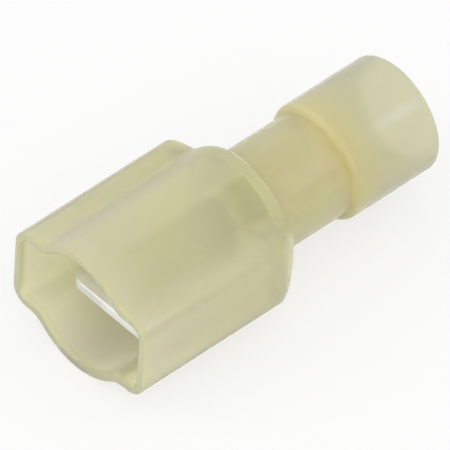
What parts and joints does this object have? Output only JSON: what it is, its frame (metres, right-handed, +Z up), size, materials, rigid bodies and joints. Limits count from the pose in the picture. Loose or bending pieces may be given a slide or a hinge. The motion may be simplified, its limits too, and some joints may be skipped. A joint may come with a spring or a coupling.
{
  "type": "male spade terminal",
  "caption": "Insulated male spade terminal: a flat tab inside a winged translucent shroud, with a crimp barrel in the neck and a wider bell as the wire entry.",
  "frame": {"origin": "on the surface that the shroud lies on, below the axis, halfway along the part", "axes": "+Y along the axis from the shroud's mouth to the wire entry, +Z up, the tab lies level across X"},
  "size_m": [0.0106, 0.024, 0.0085],
  "materials": {
    "nylon": "translucent pale yellow nylon, satin",
    "tinned_brass": "bright tin plate"
  },
  "bodies": {
    "root": {"insulating_housing": "nylon", "tab_terminal": "tinned_brass"}
  },
  "joints": []
}
